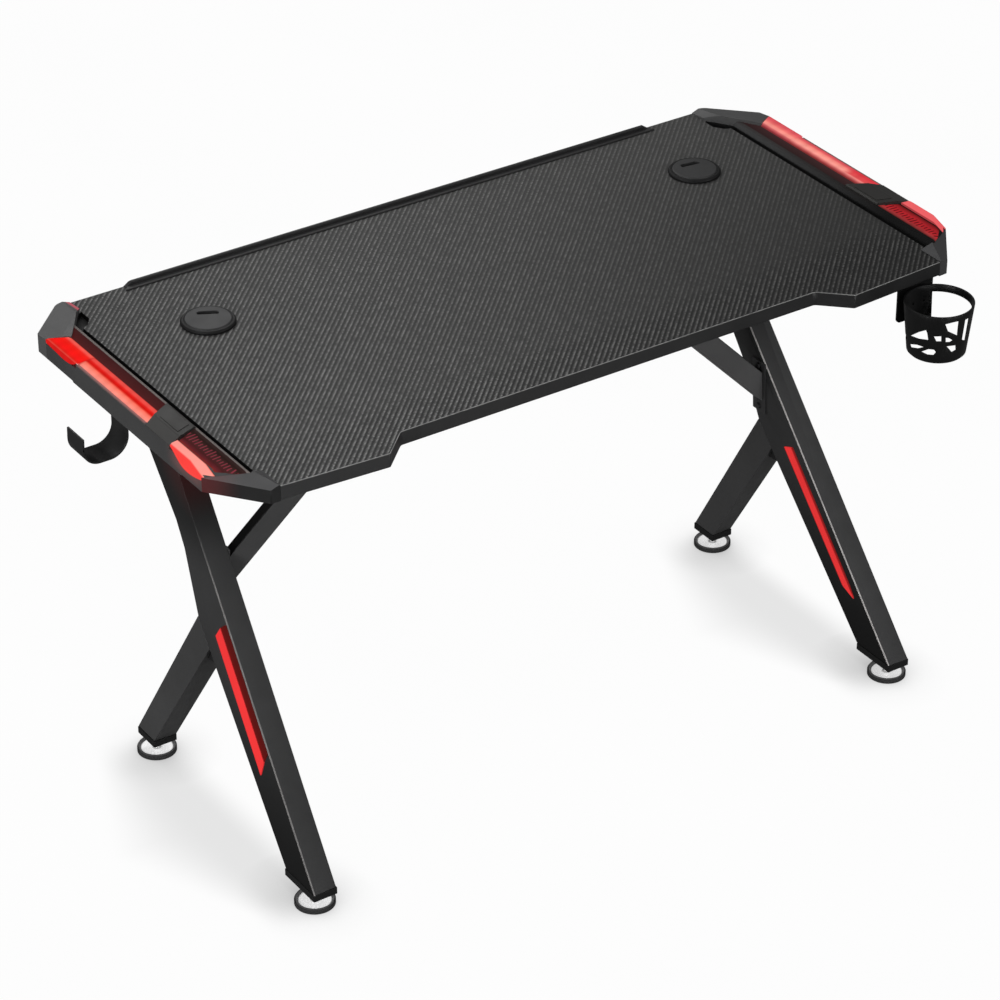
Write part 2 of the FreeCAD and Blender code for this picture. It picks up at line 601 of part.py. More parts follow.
hook = strap([(-594, 706.5, 0), (-638, 706.5, 4.5), (-638, 650, 30), (-709, 650, 25), (-708, 694, 0)],
             3.0, HOOK_Y0, HOOK_Y1)
for x, y in HOOK_SCREWS:
    hook = hook.cut(cyl(2.2, x, y, 690, 720))
put("headset_hook", hook)

# ---- cup basket and its bracket ------------------------------------------
plate_w = rounded_face([(499, 646), (565, 646), (565, 708), (499, 708)], [7, 7, 0, 0], 0.0)
plate_w.rotate(V(0, 0, 0), V(1, 0, 0), 90)
plate_w.translate(V(0, -292, 0))
plate = plate_w.extrude(V(0, -3, 0))
tab = box(470, 565, -292, -250, 705, 708)
bracket = fuse(plate, tab)
for x, y in CUP_SCREWS:
    bracket = bracket.cut(cyl(2.2, x, y, 690, 720))
CUP_BOLTS = [(CUP_X - 11, 676.0), (CUP_X + 11, 676.0)]
for x, z in CUP_BOLTS:
    bracket = bracket.cut(cyly(2.1, -300, -285, x, z))
put("cup_bracket", bracket)

outer = turned([(0, CUP_BOT), (CUP_R0 - 3, CUP_BOT), (CUP_R0, CUP_BOT + 3), (CUP_R1, CUP_TOP), (0, CUP_TOP)],
               CUP_X, CUP_Y)
hollow = turned([(0, CUP_BOT + 3), (CUP_R0 - 3.2, CUP_BOT + 3), (CUP_R1 - 3.0, CUP_TOP), (CUP_R1 - 3.0, CUP_TOP + 50),
                 (0, CUP_TOP + 50)], CUP_X, CUP_Y)
pad = box(CUP_X - 19, CUP_X + 19, -316, -295, 652, 696)
basket = fuse(outer, pad).cut(hollow)


def sector(a0, a1, r0, r1, z0, z1):
    """Cutter through the basket's wall between two angles."""
    w_ = Part.makePolygon([V(r0, 0, z0), V(r1, 0, z0), V(r1, 0, z1), V(r0, 0, z1), V(r0, 0, z0)])
    s_ = Part.Face(w_).revolve(V(0, 0, 0), V(0, 0, 1), a1 - a0)
    s_.rotate(V(0, 0, 0), V(0, 0, 1), a0)
    s_.translate(V(CUP_X, CUP_Y, 0))
    return s_


def leaf(zc, a, b, tilt, ang):
    e = Part.Ellipse(V(0, 0, 0), a, b).toShape()
    f = Part.Face(Part.Wire([e]))
    f.rotate(V(0, 0, 0), V(0, 0, 1), tilt)
    f.rotate(V(0, 0, 0), V(1, 1, 1), 120)
    s_ = f.extrude(V(90, 0, 0))
    s_.translate(V(0, 0, zc))
    s_.rotate(V(0, 0, 0), V(0, 0, 1), ang)
    s_.translate(V(CUP_X, CUP_Y, 0))
    return s_


def slant(pts, dx, dz):
    """Slanted cutter: outline in the basket's middle plane, run down through the wall and the floor."""
    w_ = [V(CUP_X + x - dx / 2, CUP_Y - 100, z - dz / 2) for x, z in pts]
    return Part.Face(Part.makePolygon(w_ + [w_[0]])).extrude(V(dx, 200, dz))


# a wide window at the back, two leaves on the far side, and slanted openings that
# pass through the front wall and the floor
cutters = [sector(-31, 62, 30, 70, 640, 689), leaf(640, 11, 4.2, 10, 144), leaf(636, 10, 4.2, -10, -32)]
for dx, dz, pts in (
        (174.0, -147.5, [(-50.6, 656.9), (-35.5, 658.3), (-22.1, 657.2), (-19.4, 651.6), (-16.6, 639.1), (-34.7, 646.8)]),
        (175.6, -148.2, [(-5.6, 641.2), (8.5, 637.1), (9.1, 628.7), (-0.3, 631.6)]),
        (176.6, -148.6, [(17.7, 631.8), (24.1, 629.2), (30.7, 623.7), (25.6, 622.5), (18.3, 624.5)]),
        (173.6, -148.2, [(-50.3, 642.2), (-37.8, 637.3), (-25.0, 629.5), (-35.4, 630.7), (-48.3, 636.5)]),
        (174.8, -149.2, [(-27.9, 622.6), (-14.7, 622.6), (-3.9, 618.1), (-0.1, 613.1), (-4.4, 609.7), (-16.0, 614.1)]),
        (177.2, -149.6, [(20.9, 616.1), (37.4, 612.7), (38.4, 605.2), (31.1, 603.7)]),
        (177.0, -147.8, [(15.1, 655.5), (39.9, 652.9), (39.1, 629.6), (21.2, 642.0)]),
        (178.4, -148.4, [(53.9, 650.9), (59.2, 652.0), (54.5, 616.2), (50.0, 618.7)])):
    cutters.append(slant(pts, dx, dz))
for c in cutters:
    basket = basket.cut(c)
for x, z in CUP_BOLTS:
    basket = basket.cut(cyly(1.95, -304, -290, x, z))
put("cup_basket", max(basket.Solids, key=lambda q: q.Volume))

acc = [bolt(V(x, y, 705), V(0, 0, 1), 2.5, 16.0, 4.5, 2.0) for x, y in HOOK_SCREWS + CUP_SCREWS]
put("accessory_screws", Part.makeCompound(acc))
pegs = [bolt(V(x, -292, z), V(0, -1, 0), 2.2, 9.0, 3.6, 1.9) for x, z in CUP_BOLTS]
put("cup_screws", Part.makeCompound(pegs))

# ---- light controller under the board ------------------------------------
ctl = box(255, 345, 185, 235, BAR_Z + 2, BOARD_B)
ctl = ctl.cut(cyly(3.0, 227, 240, 300, 699))
put("light_controller", ctl)

# ---- report --------------------------------------------------------------
allb = None
for n, s in made.items():
    allb = s.BoundBox if allb is None else allb.united(s.BoundBox)
    ok = s.isValid()
    if not ok or len(s.Solids) == 0:
        print("CHECK", n, "valid", ok, "solids", len(s.Solids))
print("nodes", len(made))
print("box", round(allb.XMin, 3), round(allb.XMax, 3), round(allb.YMin, 3), round(allb.YMax, 3),
      round(allb.ZMin, 3), round(allb.ZMax, 3))
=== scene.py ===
import bpy
import math
from mathutils import Matrix, Vector

# Gaming desk: finishes, light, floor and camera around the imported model.
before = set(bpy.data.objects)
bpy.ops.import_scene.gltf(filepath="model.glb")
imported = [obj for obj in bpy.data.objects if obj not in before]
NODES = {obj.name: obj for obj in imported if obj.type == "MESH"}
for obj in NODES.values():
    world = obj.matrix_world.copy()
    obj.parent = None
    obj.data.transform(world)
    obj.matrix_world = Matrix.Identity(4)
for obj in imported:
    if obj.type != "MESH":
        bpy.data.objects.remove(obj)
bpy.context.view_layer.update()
scene = bpy.context.scene

# the desk's own middle lies at this offset from the row frame, in millimetres
SX, SY = 29.962, 46.5


# ---- small helpers for node graphs ---------------------------------------
class Mat:
    def __init__(self, name):
        self.m = bpy.data.materials.new(name)
        self.m.use_nodes = True
        self.t = self.m.node_tree
        self.t.nodes.clear()
        self.out = self.t.nodes.new("ShaderNodeOutputMaterial")
        self.b = self.t.nodes.new("ShaderNodeBsdfPrincipled")
        self.t.links.new(self.b.outputs["BSDF"], self.out.inputs["Surface"])
        self._co = None
        self._sym = None

    def node(self, kind):
        return self.t.nodes.new(kind)

    def put(self, socket, value):
        if isinstance(value, bpy.types.NodeSocket):
            self.t.links.new(value, socket)
        elif isinstance(value, (tuple, list)) and len(value) == 3 and socket.type == "RGBA":
            socket.default_value = (*value, 1.0)
        else:
            socket.default_value = value

    def co(self):
        if self._co is None:
            self._co = self.node("ShaderNodeTexCoord").outputs["Object"]
        return self._co

    def sym(self):
        """Millimetres from the desk's middle: |x|, x, y, z."""
        if self._sym is None:
            s = self.node("ShaderNodeSeparateXYZ")
            self.put(s.inputs[0], self.co())
            x = self.math("MULTIPLY_ADD", s.outputs[0], 1000.0, -SX)
            y = self.math("MULTIPLY_ADD", s.outputs[1], 1000.0, -SY)
            z = self.math("MULTIPLY", s.outputs[2], 1000.0)
            self._sym = (self.math("ABSOLUTE", x), x, y, z)
        return self._sym

    def math(self, op, a, b=None, c=None, clamp=False):
        n = self.node("ShaderNodeMath")
        n.operation = op
        n.use_clamp = clamp
        self.put(n.inputs[0], a)
        if b is not None:
            self.put(n.inputs[1], b)
        if c is not None:
            self.put(n.inputs[2], c)
        return n.outputs[0]

    def mul(self, *v):
        r = v[0]
        for k in v[1:]:
            r = self.math("MULTIPLY", r, k)
        return r

    def inv(self, v):
        return self.math("SUBTRACT", 1.0, v)

    def mapr(self, v, a, b, c=0.0, d=1.0):
        n = self.node("ShaderNodeMapRange")
        n.clamp = True
        self.put(n.inputs["Value"], v)
        for k, x in zip(("From Min", "From Max", "To Min", "To Max"), (a, b, c, d)):
            self.put(n.inputs[k], x)
        return n.outputs["Result"]

    def step(self, v, a, b):
        n = self.node("ShaderNodeMapRange")
        n.interpolation_type = "SMOOTHSTEP"
        n.clamp = True
        self.put(n.inputs["Value"], v)
        for k, x in zip(("From Min", "From Max", "To Min", "To Max"), (a, b, 0.0, 1.0)):
            self.put(n.inputs[k], x)
        return n.outputs["Result"]

    def mix(self, fac, a, b, mode="MIX"):
        n = self.node("ShaderNodeMix")
        n.data_type = "RGBA"
        n.blend_type = mode
        n.clamp_factor = True
        self.put(n.inputs[0], fac)
        self.put(n.inputs[6], a)
        self.put(n.inputs[7], b)
        return n.outputs[2]

    def ramp(self, v, a, b, stops):
        n = self.node("ShaderNodeValToRGB")
        self.put(n.inputs[0], self.mapr(v, a, b))
        el = n.color_ramp.elements
        first, last = stops[0], stops[-1]
        el[0].position, el[0].color = (first[0] - a) / (b - a), (*first[1], 1.0)
        el[1].position, el[1].color = (last[0] - a) / (b - a), (*last[1], 1.0)
        for p, c in stops[1:-1]:
            e = el.new((p - a) / (b - a))
            e.color = (*c, 1.0)
        return n.outputs[0]

    def scale(self, col, k):
        n = self.node("ShaderNodeVectorMath")
        n.operation = "SCALE"
        self.put(n.inputs[0], col)
        self.put(n.inputs["Scale"], k)
        return n.outputs[0]

    def noise(self, scale, detail=3.0, rough=0.55, stretch=None):
        n = self.node("ShaderNodeTexNoise")
        v = self.co()
        if stretch:
            mp = self.node("ShaderNodeMapping")
            mp.inputs["Scale"].default_value = stretch
            self.put(mp.inputs["Vector"], v)
            v = mp.outputs[0]
        self.put(n.inputs["Vector"], v)
        n.inputs["Scale"].default_value = scale
        n.inputs["Detail"].default_value = detail
        n.inputs["Roughness"].default_value = rough
        return n.outputs["Fac"]

    def normal(self):
        g = self.node("ShaderNodeNewGeometry")
        s = self.node("ShaderNodeSeparateXYZ")
        self.put(s.inputs[0], g.outputs["Normal"])
        return s.outputs[0], s.outputs[1], s.outputs[2]

    def bump(self, height, strength=0.3, distance=0.001):
        n = self.node("ShaderNodeBump")
        n.inputs["Strength"].default_value = strength
        n.inputs["Distance"].default_value = distance
        self.put(n.inputs["Height"], height)
        self.put(self.b.inputs["Normal"], n.outputs[0])

    def color(self, v):
        self.put(self.b.inputs["Base Color"], v)

    def rough(self, v):
        self.put(self.b.inputs["Roughness"], v)

    def spec(self, v):
        self.b.inputs["Specular IOR Level"].default_value = v

    def glow(self, color, strength=1.0):
        self.put(self.b.inputs["Emission Color"], color)
        self.b.inputs["Emission Strength"].default_value = strength


def scaled(c, k):
    return tuple(min(x * k, 1.0) for x in c)


def grainy(name, base, rough=0.5, spec=0.3, grain=1400.0, depth=0.25, vary=0.15, metal=0.0):
    """Moulded or coated surface: fine grain, slow drift of colour and gloss."""
    m = Mat(name)
    m.spec(spec)
    m.b.inputs["Metallic"].default_value = metal
    slow = m.noise(7.0, 4.0)
    fine = m.noise(grain, 2.0, 0.6)
    col = m.mix(m.mapr(slow, 0.3, 0.7), scaled(base, 1 - vary), scaled(base, 1 + vary))
    m.base = m.mix(m.mapr(fine, 0.35, 0.75, 0.0, 0.4), col, scaled(base, 1.4))
    m.color(m.base)
    m.rough(m.mapr(m.noise(40.0, 3.0), 0.3, 0.7, rough - 0.05, rough + 0.05))
    m.bump(fine, depth, 0.0002)
    return m


# ---- materials -----------------------------------------------------------
def carbon():
    """Carbon-look laminate: two-by-two twill of flat tows, diagonals along +X+Y."""
    m = Mat("carbon_twill")
    P = 2.546
    ax, x, y, z = m.sym()
    u = m.math("DIVIDE", x, P)
    v = m.math("DIVIDE", y, P)
    i = m.math("FLOOR", u)
    j = m.math("FLOOR", v)
    k = m.math("FLOORED_MODULO", m.math("SUBTRACT", i, j), 4.0)
    over = m.math("LESS_THAN", k, 1.5)
    front = m.math("LESS_THAN", m.math("ABSOLUTE", m.math("SUBTRACT", k, 1.0)), 0.5)
    a = m.math("SUBTRACT", u, i)
    b = m.math("SUBTRACT", v, j)

    def crown(t):
        c = m.math("MULTIPLY_ADD", t, 2.0, -1.0)
        return m.inv(m.math("POWER", m.math("ABSOLUTE", c), 3.0))

    ca, cb = crown(a), crown(b)
    # fibres run along the tow that lies on top, and no two tows are quite alike
    fx = m.noise(1.0, 2.0, 0.6, stretch=(2600.0, 160.0, 1.0))
    fy = m.noise(1.0, 2.0, 0.6, stretch=(160.0, 2600.0, 1.0))
    cell = m.node("ShaderNodeCombineXYZ")
    m.put(cell.inputs[0], i)
    m.put(cell.inputs[1], j)
    wn = m.node("ShaderNodeTexWhiteNoise")
    wn.noise_dimensions = "2D"
    m.put(wn.inputs["Vector"], cell.outputs[0])
    odd = m.mapr(wn.outputs["Value"], 0.0, 1.0, 0.45, 1.45)
    patch = m.mapr(m.noise(55.0, 2.0, 0.5), 0.3, 0.7, 0.72, 1.22)
    lit = m.mul(m.math("MULTIPLY_ADD", ca, 0.6, 0.4), m.mapr(fx, 0.25, 0.75, 0.6, 1.0), odd, patch,
                m.math("MULTIPLY_ADD", front, 0.70, 0.30), over)
    # painted sheen: the tows stand out less towards the right and the rear, where the back light's reflection fades
    run = m.mapr(x, -450.0, 480.0, 0.0, 1.0)
    fore = m.step(m.mul(y, -1.0), 105.0, 235.0)
    painted_sheen_contrast = m.math("MAXIMUM", m.mapr(run, 0.0, 1.0, 0.84, 0.34), m.mul(fore, 1.0))
    lit = m.math("ADD", m.mul(lit, painted_sheen_contrast), m.mul(m.inv(painted_sheen_contrast), 0.20))
    # painted sheen and shade: the top is painted lighter at the front left, darker at the front right, and a little
    # lighter towards the rear right
    hind = m.mapr(y, -260.0, 250.0, 0.0, 1.0)
    painted_light_tone = m.math("ADD", m.mul(m.inv(hind), m.mapr(run, 0.0, 1.0, 1.02, 0.48)), m.mul(hind, m.mapr(run, 0.0, 1.0, 0.86, 1.12)))
    dim = m.mul(cb, m.mapr(fy, 0.25, 0.75, 0.5, 1.0), odd)
    weft = m.mix(dim, (0.004, 0.004, 0.004), (0.016, 0.016, 0.016))
    m.color(m.scale(m.mix(lit, weft, (0.24, 0.238, 0.232)), painted_light_tone))
    h = m.mix(over, m.mul(cb, 0.5), m.mul(ca, 0.8))
    m.bump(h, 0.25, 0.0003)
    # the upper tows are glossier than the ones that dip under them
    m.rough(m.mapr(lit, 0.0, 0.8, 0.56, 0.36))
    m.spec(0.26)
    return m.m


def frosted(m, col):
    """Lit cover: slow unevenness and a fine frost over the given glow."""
    frost = m.noise(900.0, 2.0, 0.6)
    slow = m.noise(25.0, 3.0)
    k = m.math("MULTIPLY", m.mapr(slow, 0.3, 0.7, 0.93, 1.04), m.mapr(frost, 0.3, 0.7, 0.96, 1.04))
    m.glow(m.scale(col, k))
    m.color(m.mix(frost, (0.05, 0.002, 0.002), (0.08, 0.004, 0.004)))
    m.rough(m.mapr(frost, 0.3, 0.7, 0.28, 0.4))
    m.spec(0.0)
    m.bump(frost, 0.08, 0.0002)


def lens_rear(side):
    """Frosted red cover: pale bead, deep valley, pale facet, plain red rear end."""
    m = Mat("lens_rear_" + side)
    ax, x, y, z = m.sym()
    if side == "left":
        long = m.ramp(ax, 617, 652, [(618.3, (0.30, 0.025, 0.016)), (621, (0.76, 0.085, 0.070)), (625.5, (0.84, 0.075, 0.060)),
                                     (628.5, (0.72, 0.014, 0.010)), (631.3, (0.62, 0.007, 0.004)), (634, (0.74, 0.050, 0.030)),
                                     (637, (0.95, 0.19, 0.13)), (642, (0.99, 0.29, 0.22)), (645.3, (0.92, 0.27, 0.22))])
        rear = m.ramp(ax, 617, 652, [(618.3, (0.30, 0.025, 0.016)), (621, (0.80, 0.11, 0.08)), (624, (0.88, 0.10, 0.08)),
                                     (628, (0.82, 0.018, 0.012)), (633, (0.86, 0.010, 0.006)), (641, (0.90, 0.009, 0.008)),
                                     (646, (0.72, 0.014, 0.008)), (648, (0.70, 0.060, 0.045)), (649.3, (0.55, 0.010, 0.006)),
                                     (650.5, (0.68, 0.010, 0.012))])
    else:
        long = m.ramp(ax, 617, 652, [(618.3, (0.20, 0.030, 0.030)), (620.5, (0.46, 0.09, 0.09)), (624, (0.92, 0.31, 0.27)),
                                     (629, (0.97, 0.37, 0.31)), (633.5, (0.93, 0.29, 0.24)), (637, (0.80, 0.15, 0.145)),
                                     (641, (0.70, 0.095, 0.11)), (645.3, (0.60, 0.075, 0.095))])
        rear = m.ramp(ax, 617, 652, [(618.3, (0.20, 0.030, 0.035)), (621, (0.50, 0.09, 0.10)), (625, (0.90, 0.30, 0.26)),
                                     (630, (0.93, 0.30, 0.25)), (635, (0.82, 0.17, 0.16)), (641, (0.70, 0.10, 0.115)),
                                     (650.5, (0.58, 0.075, 0.09))])
    col = m.mix(m.step(y, 128.5, 131.0), long, rear)
    if side == "left":
        dark = m.mul(m.step(y, 126.0, 129.0), m.inv(m.step(y, 130.5, 133.0)))
        col = m.mix(m.mul(dark, 0.35), col, (0.35, 0.01, 0.01))
    else:
        # deeper red towards the front end
        leaf = m.mul(m.inv(m.step(y, -14.0, 6.0)), m.step(ax, 622.0, 628.0))
        col = m.mix(m.mul(leaf, 0.85), col, (0.68, 0.035, 0.050))
    # faint row of diodes behind the cover
    row = m.math("SINE", m.mul(y, 2 * math.pi / 22.0))
    frosted(m, m.scale(col, m.mapr(row, -1.0, 1.0, 0.94, 1.03)))
    return m.m


def lens_front(side):
    """Front cover: pale top facet, red outer face that wraps over the panel."""
    m = Mat("lens_front_" + side)
    ax, x, y, z = m.sym()
    if side == "left":
        top, out, rim = (0.96, 0.335, 0.285), (0.92, 0.058, 0.050), (0.75, 0.17, 0.13)
    else:
        top, out, rim = (0.82, 0.125, 0.135), (0.66, 0.075, 0.09), (0.35, 0.045, 0.05)
    col = m.mix(m.step(ax, 634.5, 636.5), rim, top)
    col = m.mix(m.step(ax, 646.6, 649.4), col, out)
    low = m.inv(m.step(z, 718.0, 732.0))
    col = m.mix(m.mul(low, 0.35), col, (0.95, 0.085, 0.07))
    frosted(m, col)
    return m.m


def panel(side):
    """Side panel: black moulding; its inner strip and outer ledge glow with painted red light from the lens, its ridge
    carries a painted highlight.
    """
    m = grainy("panel_" + side, (0.058, 0.058, 0.0585), 0.45, 0.02, 1500.0, 0.2)
    ax, x, y, z = m.sym()
    strip = m.mul(m.step(ax, 598.8, 600.5), m.inv(m.step(ax, 619.0, 621.0)), m.step(z, 734.0, 735.5))
    near = m.mapr(ax, 600.0, 618.0, 0.75, 1.25)
    # painted light: the outer ledge beside the lens glows pale red
    ledge = m.mul(m.step(ax, 645.0, 646.0), m.step(z, 735.0, 737.2), m.step(y, -66.0, -60.0))
    ledge = m.mul(ledge, m.inv(m.step(ax, 646.5, 650.5)))
    if side == "left":
        painted_light_tone, pale = (0.056, 0.0058, 0.0062), (0.17, 0.150, 0.142)
    else:
        painted_light_tone, pale = (0.032, 0.0150, 0.0155), (0.046, 0.042, 0.042)
    # painted red light on the strip, stronger towards the lens
    red = m.scale(painted_light_tone, m.mul(strip, near))
    # light spilt by the front cover on the outer face below it
    if side == "left":
        spill = m.mul(m.step(ax, 647.0, 649.0), m.step(y, -235.0, -200.0), m.inv(m.step(y, -165.0, -120.0)), m.step(z, 700.0, 722.0))
        red = m.mix(spill, red, (0.085, 0.022, 0.020))
    m.glow(m.mix(ledge, red, (0.24, 0.075, 0.065)))
    # painted highlight: the ridge beside the writing surface is painted paler, the strip itself is black
    ridge = m.mul(m.step(ax, 593.8, 595.5), m.inv(m.step(ax, 599.0, 600.2)), m.step(z, 736.0, 737.5))
    body = m.mix(ridge, m.base, pale)
    if side == "left":
        # the outer face lies in the shade of the top, deepest towards the front
        outer = m.step(ax, 649.5, 651.5)
        body = m.scale(body, m.math("MULTIPLY_ADD", outer, m.mapr(y, -200.0, 120.0, -0.80, -0.60), 1.0))
    else:
        # painted shade: the right panel darkens towards the front
        body = m.scale(body, m.mul(m.mapr(y, -150.0, 170.0, 0.20, 0.98), 1.0))
    m.color(m.mix(strip, body, (0.0025, 0.0012, 0.0012)))
    return m.m


def rear_cap(side):
    """Rear corner cap; on the left the inner slope carries a crimson line of painted red light."""
    m = grainy("cap_rear_" + side, (0.070, 0.070, 0.0705), 0.48, 0.3, 1500.0, 0.25)
    if side == "left":
        ax, x, y, z = m.sym()
        slope = m.math("SUBTRACT", z, m.math("MULTIPLY_ADD", m.math("SUBTRACT", ax, 563.0), 0.36, 731.2))
        slope = m.math("ADD", slope, m.mul(m.math("SUBTRACT", y, 310.0), 0.10))
        on = m.mul(m.inv(m.step(m.math("ABSOLUTE", slope), 0.5, 1.2)), m.inv(m.step(ax, 568.0, 572.0)), m.step(y, 262.0, 268.0))
        # painted red light leaking along the joint on the inner slope
        m.glow(m.scale((0.36, 0.020, 0.042), on))
    return m.m


def window(side):
    """Smoked window with rows of small plain ticks lit from behind."""
    m = Mat("window_" + side)
    ax, x, y, z = m.sym()
    n = m.noise(60.0, 3.0)
    if side == "left":
        base = m.ramp(ax, 599, 634, [(599.5, (0.032, 0.022, 0.020)), (606, (0.014, 0.009, 0.007)), (614, (0.050, 0.022, 0.020)),
                                     (623, (0.062, 0.012, 0.013)), (628, (0.13, 0.016, 0.022)), (632, (0.24, 0.024, 0.018))])
        tick = (0.21, 0.030, 0.045)
    else:
        base = m.ramp(ax, 599, 634, [(599.5, (0.12, 0.018, 0.016)), (604, (0.33, 0.034, 0.036)), (611, (0.48, 0.020, 0.026)),
                                     (620, (0.46, 0.016, 0.023)), (627, (0.28, 0.012, 0.016)), (632, (0.10, 0.004, 0.003))])
        tick = (0.055, 0.003, 0.004)
    u = m.math("DIVIDE", y, 7.0)
    fu = m.math("FRACT", u)
    cell = m.math("FLOOR", u)
    rnd = m.math("FRACT", m.mul(m.math("SINE", m.mul(cell, 12.9898)), 43758.5453))
    bar = m.math("LESS_THAN", m.math("ABSOLUTE", m.math("SUBTRACT", fu, 0.5)), 0.16)
    lo = m.math("GREATER_THAN", ax, m.math("MULTIPLY_ADD", rnd, -6.0, 611.0))
    hi = m.math("LESS_THAN", ax, m.math("MULTIPLY_ADD", rnd, 4.0, 618.0))
    m.glow(m.mix(m.mul(bar, lo, hi), m.mix(m.mapr(n, 0.3, 0.7, 0.0, 0.3), base, (0.01, 0.003, 0.003)), tick))
    m.color(m.mix(n, (0.010, 0.004, 0.004), (0.016, 0.006, 0.006)))
    m.rough(m.mapr(n, 0.3, 0.7, 0.25, 0.35))
    m.spec(0.0)
    return m.m


def front_cap():
    """Corner cap; its outer end beside the front lens takes a painted red glow of the lens's light."""
    m = grainy("cap_front", (0.040, 0.040, 0.041), 0.45, 0.3, 1500.0, 0.25)
    ax, x, y, z = m.sym()
    # painted red light, fading with distance from the front lens
    dx, dy = m.math("SUBTRACT", ax, 650.0), m.math("ADD", y, 219.0)
    d = m.math("SQRT", m.math("ADD", m.mul(dx, dx), m.mul(dy, dy)))
    k = m.inv(m.step(d, 4.0, 62.0))
    left = m.math("LESS_THAN", x, 0.0)
    m.glow(m.scale((0.060, 0.0020, 0.0030), m.mul(k, left)))
    # upright faces of the left cap lie in shade
    nx, ny, nz = m.normal()
    m.color(m.scale(m.base, m.math("MULTIPLY_ADD", m.mul(left, m.inv(m.step(nz, 0.30, 0.55))), -0.78, 1.0)))
    return m.m


def zinc():
    """Bright zinc plate of the levelling feet: pale dish with a painted glow for light from the floor, greyer rim and
    stud.
    """
    m = Mat("zinc_plate")
    m.b.inputs["Metallic"].default_value = 0.25
    ax, x, y, z = m.sym()
    dx = m.math("SUBTRACT", ax, 530.5)
    dy = m.math("SUBTRACT", m.math("ABSOLUTE", m.math("ADD", y, 55.0)), 231.0)
    r = m.math("SQRT", m.math("ADD", m.mul(dx, dx), m.mul(dy, dy)))
    slow = m.noise(90.0, 3.0)
    dish = m.mul(m.step(r, 5.0, 9.0), m.inv(m.step(r, 23.0, 24.6)), m.inv(m.step(z, 9.0, 12.0)))
    rim = m.mul(m.step(r, 24.2, 25.6), m.inv(m.step(z, 12.0, 14.0)))
    plate = m.mix(slow, (0.70, 0.70, 0.70), (0.80, 0.80, 0.80))
    m.color(m.mix(rim, plate, (0.045, 0.045, 0.046)))
    # painted light: the dish glows in place of light thrown up from the floor, while the rim and stud get only a faint
    # glow
    m.glow(m.mix(dish, (0.03, 0.03, 0.03), m.mix(slow, (0.44, 0.44, 0.44), (0.54, 0.54, 0.54))))
    m.rough(m.mapr(slow, 0.3, 0.7, 0.42, 0.5))
    m.bump(slow, 0.02, 0.0001)
    return m.m


def leg_coat():
    """Powder coat of the main legs; one edge of the front face carries a painted highlight line."""
    m = grainy("leg_coat", (0.032, 0.032, 0.0325), 0.42, 0.20, 1100.0, 0.25)
    ax, x, y, z = m.sym()
    c3, s3 = math.cos(math.radians(3.0)), math.sin(math.radians(3.0))
    off = m.math("SUBTRACT", ax, 531.4)
    across = m.math("ADD", m.mul(off, c3), m.mul(z, s3))
    up = m.mul(m.math("SUBTRACT", m.mul(z, c3), m.mul(off, s3)), c3)
    # distance behind the front face
    deep = m.math("ADD", m.mul(m.math("ADD", y, 314.6), 0.7866), m.mul(m.math("SUBTRACT", up, 36.0), -0.6175))
    left = m.math("LESS_THAN", x, 0.0)
    out = m.math("MULTIPLY_ADD", left, 2.0, -1.0)
    wide = m.mul(across, out)
    # painted highlight along the left-hand edge of the front face
    edge = m.mul(m.step(wide, 16.7, 17.5), m.inv(m.step(deep, 1.0, 1.8)), m.mapr(m.noise(45.0, 3.0), 0.3, 0.6, 0.75, 1.0))
    painted_edge_highlight = m.mix(left, m.mul(edge, m.inv(m.step(z, 455.0, 540.0))), m.mul(edge, m.inv(m.step(z, 395.0, 480.0)), 0.36))
    # painted shade: the front face shades across its width, darker on the left leg's upper end and lighter on the right
    # leg; the side faces darken towards both ends
    low = m.math("MULTIPLY_ADD", m.step(z, 40.0, 340.0), 0.85, 0.15)
    high = m.math("MULTIPLY_ADD", m.step(z, 395.0, 490.0), -0.64, 1.0)
    face = m.mul(m.mapr(wide, -17.0, 17.0, 0.74, 1.0), m.math("MULTIPLY_ADD", m.mul(left, m.step(z, 425.0, 520.0)), -0.70, 1.0),
                 m.mapr(left, 0.0, 1.0, 1.26, 1.02))
    flank = m.mul(low, high, 1.10)
    m.color(m.mix(painted_edge_highlight, m.scale(m.base, m.mix(m.step(deep, 0.8, 2.2), face, flank)), (0.52, 0.50, 0.49)))
    # red light from the side panel on the upper end
    spill = m.mul(left, m.step(z, 475.0, 540.0), m.inv(m.step(deep, 4.0, 60.0)))
    m.glow(m.scale((0.018, 0.0003, 0.0003), spill))
    return m.m


def rear_coat():
    """Powder coat of the rear legs."""
    m = grainy("rear_coat", (0.052, 0.052, 0.0525), 0.42, 0.25, 1100.0, 0.25)
    ax, x, y, z = m.sym()
    # painted shade: darker towards the top, under the board
    m.color(m.scale(m.base, m.mapr(z, 40.0, 330.0, 1.0, 0.86)))
    return m.m


def brace_coat():
    """Powder coat of the braces; their upper faces lie in the dark below the board."""
    m = grainy("brace_coat", (0.052, 0.052, 0.0525), 0.42, 0.22, 1100.0, 0.25)
    ax, x, y, z = m.sym()
    nx, ny, nz = m.normal()
    top = m.step(nz, 0.10, 0.35)
    right = m.math("LESS_THAN", 0.0, x)
    # painted shade on the upper faces, and painted light: the right brace is painted lighter
    m.color(m.scale(m.base, m.mul(m.math("MULTIPLY_ADD", top, -0.95, 1.0), m.mapr(right, 0.0, 1.0, 1.0, 1.75))))
    return m.m


